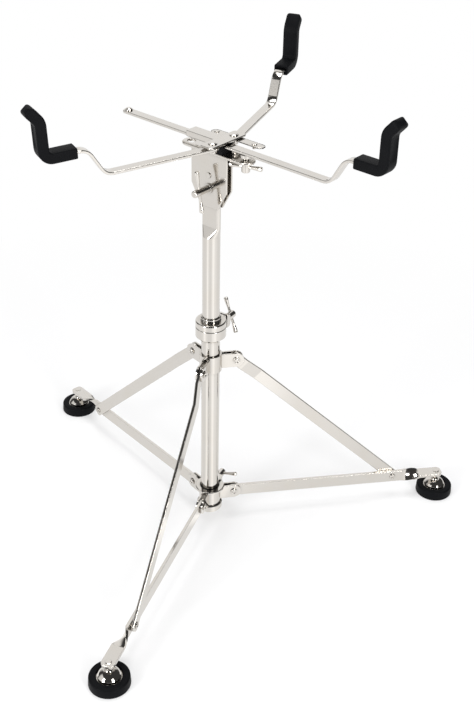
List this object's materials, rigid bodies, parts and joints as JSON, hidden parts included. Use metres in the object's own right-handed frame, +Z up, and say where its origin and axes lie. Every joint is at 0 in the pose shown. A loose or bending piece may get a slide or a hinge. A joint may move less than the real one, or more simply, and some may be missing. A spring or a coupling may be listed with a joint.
{
  "type": "snare drum stand",
  "caption": "Folding flat-base snare drum stand with telescopic column, tilting basket of swinging and sliding arms with rubber grips, T-bolt clamps and ball-jointed rubber feet.",
  "frame": {"origin": "point on the floor below the axis of the column", "axes": "+Z up along the column; the front leg points along -Y"},
  "size_m": [0.5604, 0.5241, 0.5849],
  "materials": {
    "nickel": "polished warm nickel plate",
    "rubber": "matt black rubber",
    "black_plastic": "matt black"
  },
  "bodies": {
    "base": {"base_tube": "nickel", "base_cap": "nickel", "upper_leg_hub": "nickel", "upper_hub_pins": "nickel", "height_clamp": "nickel"},
    "lower_hub": {"lower_leg_hub": "nickel", "lower_hub_pins": "nickel"},
    "collar": {"swivel_collar": "nickel"},
    "mast": {"upper_tube": "nickel"},
    "basket": {"tilter_bracket": "nickel", "tilt_pivot": "nickel", "tilt_nut": "nickel", "hub_plate": "nickel", "arm_pivots": "nickel", "hub_bridge": "nickel", "arm_stop_plate": "nickel", "arm_stop_pins": "nickel", "guide_block": "black_plastic", "clamp_pad": "nickel"},
    "left_arm": {"left_arm": "nickel", "left_grip": "rubber"},
    "back_arm": {"back_arm": "nickel", "back_grip": "rubber"},
    "sliding_arm": {"sliding_arm": "nickel", "stop_screw": "nickel", "right_grip": "rubber"},
    "height_bolt": {"height_bolt": "nickel", "height_bolt_bar": "nickel"},
    "leg_bolt": {"leg_bolt": "nickel", "leg_bolt_bar": "nickel"},
    "tilt_bolt": {"tilt_bolt": "nickel", "tilt_bolt_bar": "nickel"},
    "arm_bolt": {"arm_bolt": "nickel", "arm_bolt_bar": "nickel"},
    "upper_leg_front": {"upper_leg_front": "nickel", "upper_leg_rivet_front": "nickel"},
    "lower_leg_front": {"lower_leg_front": "nickel", "lower_leg_rivet_front": "nickel", "foot_stud_front": "nickel"},
    "foot_front": {"foot_dome_front": "nickel", "foot_rubber_front": "rubber"},
    "upper_leg_right": {"upper_leg_right": "nickel", "upper_leg_rivet_right": "nickel"},
    "lower_leg_right": {"lower_leg_right": "nickel", "lower_leg_rivet_right": "nickel", "foot_stud_right": "nickel"},
    "foot_right": {"foot_dome_right": "nickel", "foot_rubber_right": "rubber"},
    "upper_leg_left": {"upper_leg_left": "nickel", "upper_leg_rivet_left": "nickel"},
    "lower_leg_left": {"lower_leg_left": "nickel", "lower_leg_rivet_left": "nickel", "foot_stud_left": "nickel"},
    "foot_left": {"foot_dome_left": "nickel", "foot_rubber_left": "rubber"}
  },
  "joints": [
    {"name": "leg_fold", "type": "slide", "parent": "base", "child": "lower_hub", "axis": [0, 0, 1], "range_m": [0, 0.1128]},
    {"name": "swivel", "type": "hinge", "parent": "base", "child": "collar", "pos_m": [0, 0, 0.2915], "axis": [0, 0, 1], "continuous": true},
    {"name": "height", "type": "slide", "parent": "collar", "child": "mast", "axis": [0, 0, 1], "range_m": [-0.09, 0.1]},
    {"name": "tilt", "type": "hinge", "parent": "mast", "child": "basket", "pos_m": [0, 0, 0.464], "axis": [-0.36, -0.933, 0], "range_deg": [-20, 20]},
    {"name": "left_arm_swing", "type": "hinge", "parent": "basket", "child": "left_arm", "pos_m": [0.00871, -0.02105, 0.5], "axis": [0, 0, 1], "range_deg": [-60, 20]},
    {"name": "back_arm_swing", "type": "hinge", "parent": "basket", "child": "back_arm", "pos_m": [0.02059, 0.00974, 0.5], "axis": [0, 0, 1], "range_deg": [-62, 48]},
    {"name": "arm_slide", "type": "slide", "parent": "basket", "child": "sliding_arm", "axis": [0.933, -0.36, 0], "range_m": [-0.075, 0.085]},
    {"name": "height_bolt_turn", "type": "hinge", "parent": "base", "child": "height_bolt", "pos_m": [0.00766, 0.03004, 0.2724], "axis": [0.247, 0.969, 0], "continuous": true},
    {"name": "leg_bolt_turn", "type": "hinge", "parent": "lower_hub", "child": "leg_bolt", "pos_m": [0.00256, 0.02084, 0.043], "axis": [0.1219, 0.9925, 0], "continuous": true},
    {"name": "tilt_bolt_turn", "type": "hinge", "parent": "basket", "child": "tilt_bolt", "pos_m": [0, 0, 0.4493], "axis": [-0.36, -0.933, 0], "continuous": true},
    {"name": "arm_bolt_turn", "type": "hinge", "parent": "basket", "child": "arm_bolt", "pos_m": [0.04348, -0.01678, 0.4905], "axis": [0, 0, -1], "continuous": true},
    {"name": "upper_leg_front_swing", "type": "hinge", "parent": "base", "child": "upper_leg_front", "pos_m": [0, -0.03, 0.23], "axis": [1, 0, 0], "range_deg": [0, 33.79]},
    {"name": "lower_leg_front_swing", "type": "hinge", "parent": "lower_hub", "child": "lower_leg_front", "pos_m": [0, -0.03, 0.0345], "axis": [1, 0, 0], "range_deg": [0, 71.59]},
    {"name": "foot_front_tilt", "type": "hinge", "parent": "lower_leg_front", "child": "foot_front", "pos_m": [0, -0.297, 0.0175], "axis": [1, 0, 0], "range_deg": [-12, 12]},
    {"name": "upper_leg_right_swing", "type": "hinge", "parent": "base", "child": "upper_leg_right", "pos_m": [0.02598, 0.015, 0.23], "axis": [-0.5, 0.866, 0], "range_deg": [0, 33.79]},
    {"name": "lower_leg_right_swing", "type": "hinge", "parent": "lower_hub", "child": "lower_leg_right", "pos_m": [0.02598, 0.015, 0.0345], "axis": [-0.5, 0.866, 0], "range_deg": [0, 71.59]},
    {"name": "foot_right_tilt", "type": "hinge", "parent": "lower_leg_right", "child": "foot_right", "pos_m": [0.25721, 0.1485, 0.0175], "axis": [-0.5, 0.866, 0], "range_deg": [-12, 12]},
    {"name": "upper_leg_left_swing", "type": "hinge", "parent": "base", "child": "upper_leg_left", "pos_m": [-0.02598, 0.015, 0.23], "axis": [-0.5, -0.866, 0], "range_deg": [0, 33.79]},
    {"name": "lower_leg_left_swing", "type": "hinge", "parent": "lower_hub", "child": "lower_leg_left", "pos_m": [-0.02598, 0.015, 0.0345], "axis": [-0.5, -0.866, 0], "range_deg": [0, 71.59]},
    {"name": "foot_left_tilt", "type": "hinge", "parent": "lower_leg_left", "child": "foot_left", "pos_m": [-0.25721, 0.1485, 0.0175], "axis": [-0.5, -0.866, 0], "range_deg": [-12, 12]}
  ],
  "couplings": [
    {"joint": "upper_leg_front_swing", "follows": "leg_fold", "rad_per_m": 5.2202},
    {"joint": "lower_leg_front_swing", "follows": "leg_fold", "rad_per_m": 11.07},
    {"joint": "upper_leg_right_swing", "follows": "leg_fold", "rad_per_m": 5.2202},
    {"joint": "lower_leg_right_swing", "follows": "leg_fold", "rad_per_m": 11.07},
    {"joint": "upper_leg_left_swing", "follows": "leg_fold", "rad_per_m": 5.2202},
    {"joint": "lower_leg_left_swing", "follows": "leg_fold", "rad_per_m": 11.07}
  ]
}
